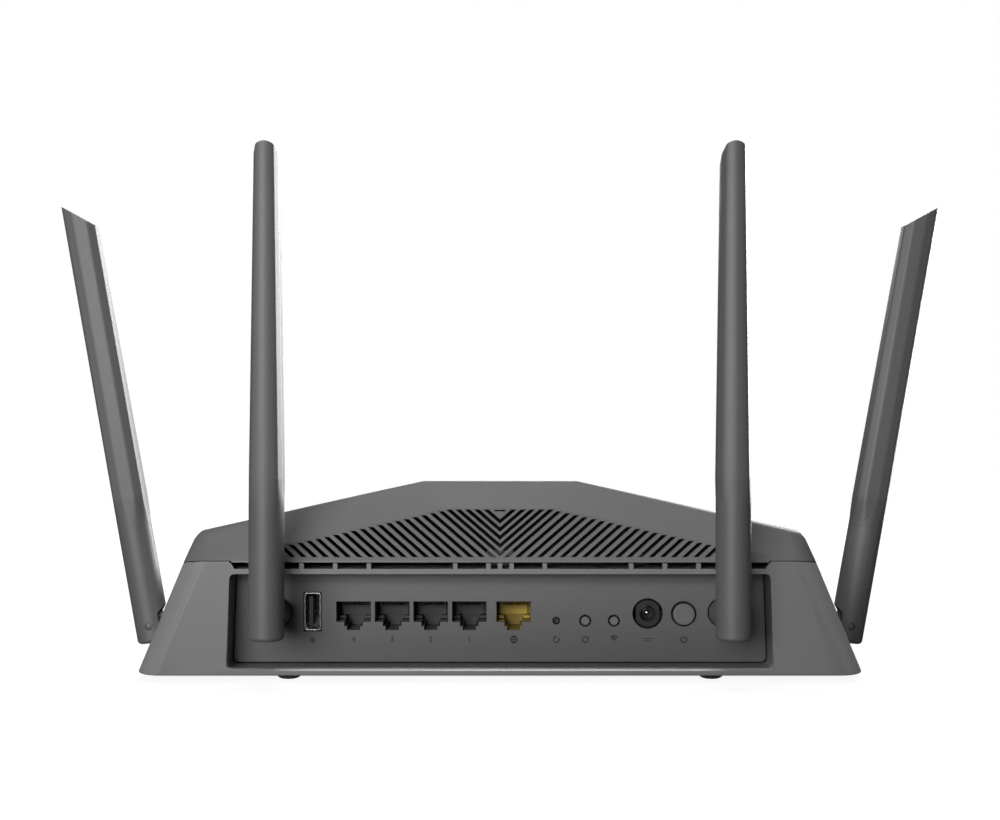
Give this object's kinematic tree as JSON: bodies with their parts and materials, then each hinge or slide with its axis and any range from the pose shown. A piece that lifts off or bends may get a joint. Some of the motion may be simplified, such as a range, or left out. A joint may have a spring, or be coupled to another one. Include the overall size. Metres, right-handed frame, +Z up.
{
  "type": "wireless router",
  "caption": "Desktop wireless router with a sloping faceted case, a recessed rear socket panel, a chevron vent and folding swivel antennas.",
  "frame": {"origin": "on the table under the middle of the whole object, midway between its outermost points in X and Y", "axes": "+Z up, +Y towards the rear where the sockets are, +X to the right for someone facing the front"},
  "size_m": [0.3414, 0.182, 0.1893],
  "materials": {
    "case_plastic": "fine satin moulded texture, dark grey",
    "panel_plastic": "fine satin moulded texture, slightly darker grey",
    "black_plastic": "smooth black moulded plastic",
    "amber_plastic": "smooth dark amber moulded plastic",
    "gold_contacts": "thin gold plate on sprung wire",
    "steel": "bright plated steel",
    "tin_plate": "dull tin plate",
    "aluminium": "plain extruded aluminium",
    "board_laminate": "green solder mask",
    "thermal_pad": "soft grey-blue silicone",
    "clear_plastic": "frosted clear plastic",
    "rubber": "matt dark rubber",
    "copper": "bare copper strip",
    "cable_jacket": "thin black cable jacket"
  },
  "bodies": {
    "root": {"bottom_case": "case_plastic", "top_cover": "case_plastic", "socket_panel": "panel_plastic", "lan_jack_block": "black_plastic", "usb_tongue": "black_plastic", "power_inlet": "black_plastic", "power_switch": "black_plastic", "pairing_switch": "black_plastic", "radio_switch": "black_plastic", "reset_switch": "black_plastic", "processor": "black_plastic", "internet_jack": "amber_plastic", "internet_contacts": "gold_contacts", "lan_contacts_1": "gold_contacts", "lan_contacts_2": "gold_contacts", "lan_contacts_3": "gold_contacts", "lan_contacts_4": "gold_contacts", "usb_shell": "steel", "power_inlet_pin": "steel", "shield_can_right": "tin_plate", "shield_can_left": "tin_plate", "heat_sink": "aluminium", "circuit_board": "board_laminate", "thermal_pad": "thermal_pad", "light_pipe": "clear_plastic", "status_lamp": "clear_plastic", "foot_front_right": "rubber", "screw_front_right": "steel", "foot_front_left": "rubber", "screw_front_left": "steel", "foot_rear_right": "rubber", "screw_rear_right": "steel", "foot_rear_left": "rubber", "screw_rear_left": "steel", "lead_side_right": "cable_jacket", "lead_side_left": "cable_jacket", "lead_rear_right": "cable_jacket", "lead_rear_left": "cable_jacket"},
    "swivel_rear_right": {"knuckle_rear_right": "case_plastic"},
    "antenna_rear_right": {"antenna_rear_right": "case_plastic", "hinge_pin_rear_right": "case_plastic", "radiator_rear_right": "copper"},
    "swivel_rear_left": {"knuckle_rear_left": "case_plastic"},
    "antenna_rear_left": {"antenna_rear_left": "case_plastic", "hinge_pin_rear_left": "case_plastic", "radiator_rear_left": "copper"},
    "swivel_side_right": {"knuckle_side_right": "case_plastic"},
    "antenna_side_right": {"antenna_side_right": "case_plastic", "hinge_pin_side_right": "case_plastic", "radiator_side_right": "copper"},
    "swivel_side_left": {"knuckle_side_left": "case_plastic"},
    "antenna_side_left": {"antenna_side_left": "case_plastic", "hinge_pin_side_left": "case_plastic", "radiator_side_left": "copper"},
    "power_button": {"power_button": "case_plastic"},
    "pairing_button": {"pairing_button": "case_plastic"},
    "radio_button": {"radio_button": "case_plastic"},
    "reset_button": {"reset_button": "black_plastic"}
  },
  "joints": [
    {"name": "swivel_rear_right_turn", "type": "hinge", "parent": "root", "child": "swivel_rear_right", "pos_m": [0.0806, 0.08425, 0.0232], "axis": [0, 1, 0], "range_deg": [-60, 90]},
    {"name": "antenna_rear_right_fold", "type": "hinge", "parent": "swivel_rear_right", "child": "antenna_rear_right", "pos_m": [0.0806, 0.08425, 0.0232], "axis": [-1, 0, 0], "range_deg": [0, 90]},
    {"name": "swivel_rear_left_turn", "type": "hinge", "parent": "root", "child": "swivel_rear_left", "pos_m": [-0.0806, 0.08425, 0.0232], "axis": [0, 1, 0], "range_deg": [-90, 60]},
    {"name": "antenna_rear_left_fold", "type": "hinge", "parent": "swivel_rear_left", "child": "antenna_rear_left", "pos_m": [-0.0806, 0.08425, 0.0232], "axis": [-1, 0, 0], "range_deg": [0, 90]},
    {"name": "swivel_side_right_turn", "type": "hinge", "parent": "root", "child": "swivel_side_right", "pos_m": [0.1352, 0.02335, 0.0132], "axis": [-1, 0, 0], "range_deg": [-90, 90]},
    {"name": "antenna_side_right_fold", "type": "hinge", "parent": "swivel_side_right", "child": "antenna_side_right", "pos_m": [0.1352, 0.02335, 0.0132], "axis": [0, 1, 0], "range_deg": [-10.1, 79.9]},
    {"name": "swivel_side_left_turn", "type": "hinge", "parent": "root", "child": "swivel_side_left", "pos_m": [-0.1352, 0.02335, 0.0132], "axis": [-1, 0, 0], "range_deg": [-90, 90]},
    {"name": "antenna_side_left_fold", "type": "hinge", "parent": "swivel_side_left", "child": "antenna_side_left", "pos_m": [-0.1352, 0.02335, 0.0132], "axis": [0, -1, 0], "range_deg": [-10.1, 79.9]},
    {"name": "power_button_press", "type": "slide", "parent": "root", "child": "power_button", "axis": [0, -1, 0], "range_m": [0, 0.002], "stiffness_N_per_m": 500},
    {"name": "pairing_button_press", "type": "slide", "parent": "root", "child": "pairing_button", "axis": [0, -1, 0], "range_m": [0, 0.001], "stiffness_N_per_m": 400},
    {"name": "radio_button_press", "type": "slide", "parent": "root", "child": "radio_button", "axis": [0, -1, 0], "range_m": [0, 0.001], "stiffness_N_per_m": 400},
    {"name": "reset_button_press", "type": "slide", "parent": "root", "child": "reset_button", "axis": [0, -1, 0], "range_m": [0, 0.0008], "stiffness_N_per_m": 400}
  ]
}
